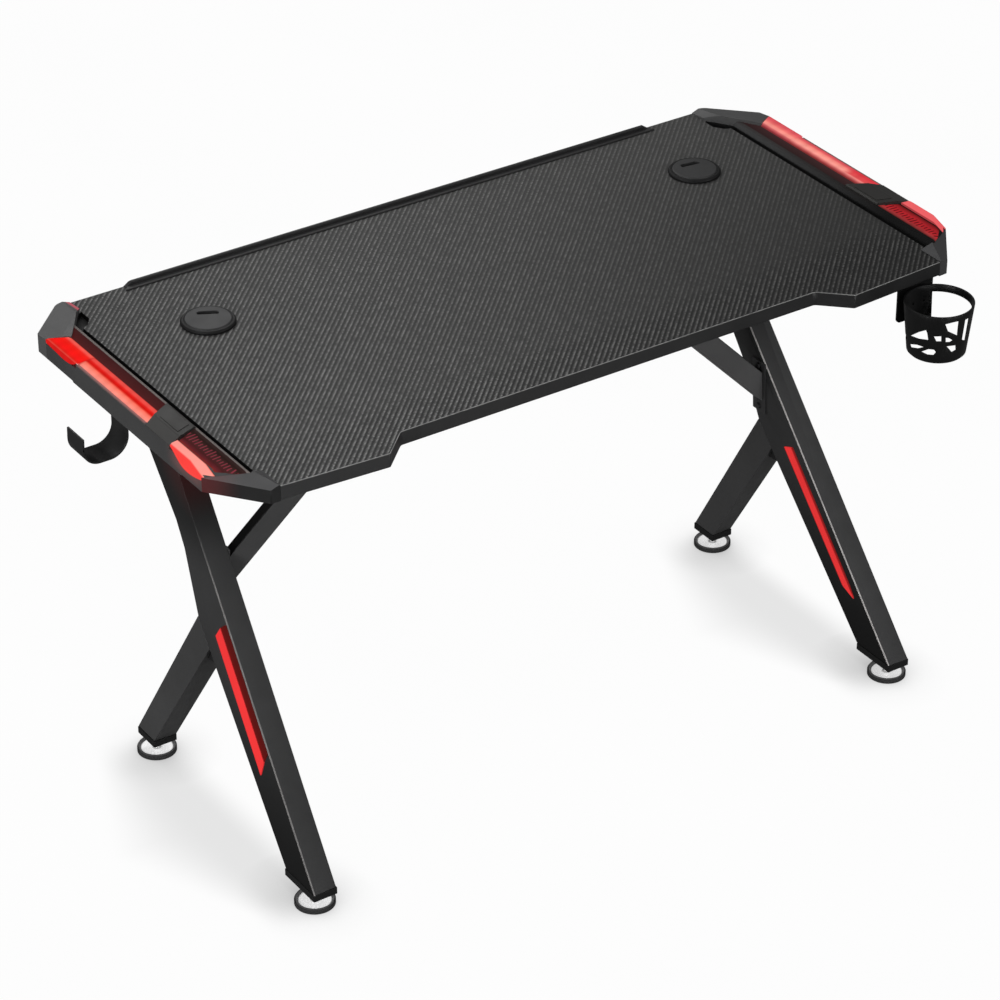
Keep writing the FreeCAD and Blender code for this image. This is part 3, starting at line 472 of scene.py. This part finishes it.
def edge_band():
    """Black edge band; its upper corner carries a painted highlight line."""
    m = grainy("edge_black", (0.018, 0.018, 0.0183), 0.42, 0.35, 1200.0, 0.10)
    ax, x, y, z = m.sym()
    # painted highlight on the upper corner; painted shade: the band is lighter at the left end and darker at the right
    painted_edge_highlight = m.mul(m.step(z, 729.0, 729.5), m.mapr(m.noise(120.0, 3.0), 0.3, 0.6, 0.55, 1.0))
    m.color(m.mix(painted_edge_highlight, m.scale(m.base, m.mapr(x, -550.0, 550.0, 1.40, 0.55)), (0.30, 0.30, 0.295)))
    return m.m


def steel_dark():
    m = Mat("blackened_steel")
    m.b.inputs["Metallic"].default_value = 0.9
    n = m.noise(300.0, 3.0)
    m.color(m.mix(n, (0.06, 0.06, 0.063), (0.14, 0.14, 0.145)))
    m.rough(m.mapr(n, 0.3, 0.7, 0.3, 0.45))
    m.bump(n, 0.1, 0.0001)
    return m.m


def red_trim():
    """Satin red inserts of the legs: bright bar glowing with painted light, deep red facet in painted shade, and deep
    red edges.
    """
    m = Mat("trim_red")
    n = m.noise(900.0, 2.0)
    slow = m.noise(9.0, 3.0)
    ax, x, y, z = m.sym()

    def above(p, q, shift):
        """Height over the line through two (y, z) points, measured square to it."""
        k = (q[1] - p[1]) / (q[0] - p[0])
        lift = m.math("SUBTRACT", z, m.math("MULTIPLY_ADD", m.math("SUBTRACT", y, p[0]), k, p[1] + shift))
        return m.mul(lift, 1.0 / math.sqrt(1 + k * k))

    outer = m.math("GREATER_THAN", m.math("ADD", ax, m.mul(z, math.tan(math.radians(3.0)))), 531.4)
    over = above((-44.0, 344.0), (-171.0, 184.0), 1.0)
    # painted shade: the facet beside the bar is deep red, darker further from the bar
    facet = m.mul(m.step(over, -0.6, 0.8), outer)
    rim = m.math("MAXIMUM", m.step(above((-68.0, 319.8), (-214.0, 137.2), -1.0), -5.5, -1.0),
                 m.inv(m.step(above((-46.0, 310.7), (-196.0, 128.0), -1.0), 0.4, 3.0)))
    deep = m.math("MAXIMUM", facet, m.mul(rim, m.inv(outer), 0.75))
    lower = m.math("MULTIPLY_ADD", m.mapr(above((-31.0, 324.0), (-163.0, 156.0), 1.0), 0.0, 4.0, -0.25, 0.0), outer, 1.0)
    bright = m.mix(m.mapr(slow, 0.3, 0.7), (0.50, 0.018, 0.019), (0.58, 0.024, 0.025))
    m.color(m.mix(deep, bright, (0.045, 0.002, 0.002)))
    shade = m.mapr(over, 0.0, 13.0, 1.0, 0.70)
    dark = m.scale((0.085, 0.0022, 0.0012), shade)
    # painted light: the bright bar glows, a little dimmer along one long edge of the outer inserts
    m.glow(m.mix(deep, m.scale(m.mix(slow, (0.42, 0.018, 0.019), (0.50, 0.023, 0.024)), lower), dark))
    m.rough(m.mapr(n, 0.3, 0.7, 0.35, 0.45))
    m.bump(n, 0.1, 0.0001)
    m.spec(0.1)
    return m.m


M = {}
M["carbon"] = carbon()
M["edge"] = edge_band()
M["rail"] = grainy("rail_black", (0.020, 0.020, 0.0205), 0.45, 0.30, 1200.0, 0.10).m
M["board"] = grainy("board_black", (0.010, 0.010, 0.0102), 0.60, 0.15, 700.0, 0.2).m
M["grommet"] = grainy("grommet_plastic", (0.034, 0.034, 0.0345), 0.45, 0.24, 1500.0, 0.2).m
M["sleeve"] = grainy("sleeve_plastic", (0.006, 0.006, 0.0062), 0.5, 0.2, 1500.0, 0.2).m
M["cap_front"] = front_cap()
M["badge"] = grainy("badge_plastic", (0.030, 0.029, 0.0275), 0.45, 0.18, 1500.0, 0.2).m
M["frame"] = grainy("powder_coat", (0.032, 0.032, 0.0325), 0.40, 0.35, 1100.0, 0.25).m
M["endcap"] = grainy("end_cap_plastic", (0.008, 0.008, 0.0082), 0.5, 0.25, 1300.0, 0.2).m
M["rubber"] = grainy("foot_rubber", (0.030, 0.030, 0.0305), 0.6, 0.25, 1300.0, 0.3).m
M["cup"] = grainy("cup_plastic", (0.0050, 0.0050, 0.0051), 0.4, 0.24, 1300.0, 0.2).m
M["hook"] = grainy("hook_coat", (0.0120, 0.0120, 0.0122), 0.42, 0.22, 1100.0, 0.25).m
M["controller"] = grainy("controller_plastic", (0.02, 0.02, 0.02), 0.5, 0.3, 1300.0, 0.2).m
M["chrome"] = zinc()
M["steel"] = steel_dark()
M["leg"] = leg_coat()
M["trim"] = red_trim()
M["strip"] = grainy("strip_white", (0.7, 0.7, 0.68), 0.5, 0.3, 800.0, 0.1).m
for s in ("left", "right"):
    M["lens_rear_" + s] = lens_rear(s)
    M["lens_front_" + s] = lens_front(s)
    M["window_" + s] = window(s)
    M["panel_" + s] = panel(s)
    M["cap_" + s] = rear_cap(s)
M["rear"] = rear_coat()
M["gusset"] = grainy("gusset_coat", (0.0135, 0.0135, 0.0137), 0.42, 0.18, 1100.0, 0.25).m
M["brace"] = brace_coat()


def which(n):
    side = n.rsplit("_", 1)[1]
    if n == "carbon_laminate":
        return "carbon"
    if n == "rear_rail":
        return "rail"
    if n.startswith("edge_band"):
        return "edge"
    if n == "desktop_board":
        return "board"
    if n.startswith("grommet_sleeve"):
        return "sleeve"
    if n.startswith("grommet"):
        return "grommet"
    if n.startswith("side_housing"):
        return "panel_" + side
    if n in ("brace_left", "brace_right"):
        return "brace"
    if n.startswith("rear_leg"):
        return "rear"
    if n.startswith("main_leg"):
        return "leg"
    if n.startswith("leg_gusset"):
        return "gusset"
    if n.startswith("front_cap"):
        return "cap_front"
    if n.startswith("rear_cap"):
        return "cap_" + side
    if n.startswith("badge"):
        return "badge"
    if n.startswith("rear_lens"):
        return "lens_rear_" + side
    if n.startswith("front_lens"):
        return "lens_front_" + side
    if n.startswith("window"):
        return "window_" + side
    if n.startswith("led"):
        return "strip"
    if n.startswith("leg_trim"):
        return "trim"
    if n.startswith("leg_cap"):
        return "endcap"
    if n.startswith("foot_screw"):
        return "chrome"
    if n.startswith("foot_base"):
        return "rubber"
    if n.endswith("screws") or n == "frame_bolts":
        return "steel"
    if n in ("cup_basket", "cup_bracket"):
        return "cup"
    if n == "headset_hook":
        return "hook"
    if n == "light_controller":
        return "controller"
    return "frame"


BEVEL = {
    "main_leg": 0.0025, "rear_leg": 0.0025, "brace_bracket": 0.0006, "brace": 0.0018, "top_bar": 0.0018, "cross_beam": 0.0012,
    "headset_hook": 0.0007, "cup_bracket": 0.0008, "cup_basket": 0.0007, "side_housing": 0.0006,
    "rear_cap": 0.0012, "front_cap": 0.0006, "badge_block": 0.0006, "leg_trim": 0.0006, "leg_cap": 0.0012,
    "light_controller": 0.0015, "rear_rail": 0.0006, "leg_gusset": 0.0010, "edge_band": 0.0009,
    "grommet_sleeve": 0.0006, "grommet_cap": 0.0006, "foot_base": 0.0008, "foot_screw": 0.0004,
    "rear_lens": 0.0004, "front_lens": 0.0004, "window_strip": 0.0003,
}

for name, o in NODES.items():
    o.data.materials.clear()
    o.data.materials.append(M[which(name)])
    w = next((v for k, v in BEVEL.items() if name.startswith(k)), 0.0)
    if w:
        weld = o.modifiers.new("weld", "WELD")
        weld.merge_threshold = 0.00002
        bv = o.modifiers.new("bevel", "BEVEL")
        bv.width = w
        bv.segments = 2
        bv.limit_method = "ANGLE"
        bv.angle_limit = math.radians(28)
        bv.harden_normals = True
        bv.use_clamp_overlap = True

# ---- floor ---------------------------------------------------------------
fm = Mat("floor_paint")
# painted contact shadow: the glowing floor is dimmed where the AO lookup finds the desk close by
near = fm.node("ShaderNodeAmbientOcclusion")
near.samples = 12
near.inputs["Distance"].default_value = 0.085
contact = fm.mapr(near.outputs["AO"], 0.30, 0.98, 0.55, 1.0)
# broad soft shade beside each leg, longest where the leg stands highest
ax, fx, fy, fz = fm.sym()
off = fm.math("MULTIPLY_ADD", fm.math("SIGN", fx), -530.0, fx)
reach = fm.mapr(fm.math("ABSOLUTE", fm.math("ADD", fy, 30.0)), 0.0, 240.0, -205.0, -95.0)
band = fm.mul(fm.step(off, reach, -45.0), fm.inv(fm.step(off, -15.0, 52.0)))
band = fm.mul(band, fm.step(fy, -330.0, -240.0), fm.inv(fm.step(fy, 140.0, 240.0)))
shade = fm.mul(contact, fm.math("MULTIPLY_ADD", band, -0.20, 1.0))
pale = fm.mix(fm.noise(1.5, 2.0), (0.972, 0.972, 0.972), (0.985, 0.985, 0.985))
fm.glow(fm.scale(pale, shade))
fm.color(fm.mix(fm.noise(3.0, 2.0), (0.004, 0.004, 0.004), (0.006, 0.006, 0.006)))
fm.rough(fm.mapr(fm.noise(30.0, 2.0), 0.3, 0.7, 0.85, 0.95))
fm.spec(0.0)
me = bpy.data.meshes.new("floor")
S = 30.0
me.from_pydata([(-S, -S, 0), (S, -S, 0), (S, S, 0), (-S, S, 0)], [], [(0, 1, 2, 3)])
floor = bpy.data.objects.new("floor", me)
me.materials.append(fm.m)
scene.collection.objects.link(floor)
floor.visible_diffuse = False
floor.visible_glossy = False

# ---- light ---------------------------------------------------------------
world = bpy.data.worlds.new("studio")
scene.world = world
world.use_nodes = True
wt = world.node_tree
wt.nodes.clear()
wo = wt.nodes.new("ShaderNodeOutputWorld")
bg = wt.nodes.new("ShaderNodeBackground")
tc = wt.nodes.new("ShaderNodeTexCoord")
sp = wt.nodes.new("ShaderNodeSeparateXYZ")
mr = wt.nodes.new("ShaderNodeMapRange")
mr.interpolation_type = "SMOOTHSTEP"
mr.inputs["From Min"].default_value = -0.10
mr.inputs["From Max"].default_value = 0.55
mr.inputs["To Min"].default_value = 0.13
mr.inputs["To Max"].default_value = 0.27
wt.links.new(tc.outputs["Generated"], sp.inputs[0])
wt.links.new(sp.outputs[2], mr.inputs["Value"])
wt.links.new(mr.outputs[0], bg.inputs["Strength"])
bg.inputs["Color"].default_value = (1, 1, 1, 1)
wt.links.new(bg.outputs[0], wo.inputs[0])


def area(name, loc, target, w, h, radiance):
    l = bpy.data.lights.new(name, "AREA")
    l.shape = "RECTANGLE"
    l.size, l.size_y = w, h
    l.energy = radiance * math.pi * w * h
    o = bpy.data.objects.new(name, l)
    o.location = loc
    o.rotation_mode = "QUATERNION"
    o.rotation_quaternion = (Vector(target) - Vector(loc)).to_track_quat("-Z", "Y")
    scene.collection.objects.link(o)
    return o


area("over", (-0.70, 0.25, 2.0), (-0.30, 0.0, 0.73), 0.9, 0.9, 2.6)
area("left", (-2.7, -1.15, 1.15), (-0.2, -0.1, 0.4), 0.5, 1.6, 14.0)
area("front", (1.55, -2.2, 2.3), (0.0, -0.1, 0.4), 1.7, 1.7, 2.0)
area("back", (0.25, 1.5, 1.9), (-0.2, 0.0, 0.73), 1.6, 1.0, 1.7)
area("low", (0.2, -3.2, 0.55), (0.0, 0.0, 0.4), 2.6, 0.9, 4.5)
area("side", (-3.3, 0.7, 0.9), (-0.4, 0.0, 0.4), 1.4, 1.4, 3.0)

# ---- camera fitted to the photograph ---------------------------------------
yaw, pitch, roll = 0.5962909873855426, 0.5538371628667204, 0.003053779472510898
pos = Vector((-2837.641844625159 + SX, -4179.5596410159915 - 10.0 + SY, 3480.451855848682)) / 1000.0
f_px, ppx, ppy = 3907.3595146809225, 511.0683273524348, 503.4406220891568
d = Vector((math.sin(yaw) * math.cos(pitch), math.cos(yaw) * math.cos(pitch), -math.sin(pitch)))
r = Vector((math.cos(yaw), -math.sin(yaw), 0.0))
u = r.cross(d)
r2 = math.cos(roll) * r + math.sin(roll) * u
u2 = -math.sin(roll) * r + math.cos(roll) * u
cam = bpy.data.cameras.new("camera")
cam.sensor_width = 36.0
cam.sensor_fit = "HORIZONTAL"
cam.lens = f_px / 1000.0 * 36.0
cam.shift_x = (500.0 - ppx) / 1000.0
cam.shift_y = (ppy - 500.0) / 1000.0
cam.clip_start, cam.clip_end = 0.1, 200.0
co = bpy.data.objects.new("camera", cam)
mw = Matrix((r2, u2, -d)).transposed().to_4x4()
mw.translation = pos
co.matrix_world = mw
scene.collection.objects.link(co)
scene.camera = co

scene.view_settings.view_transform = "Standard"
scene.view_settings.look = "None"
scene.view_settings.exposure = 0.0
scene.view_settings.gamma = 1.0
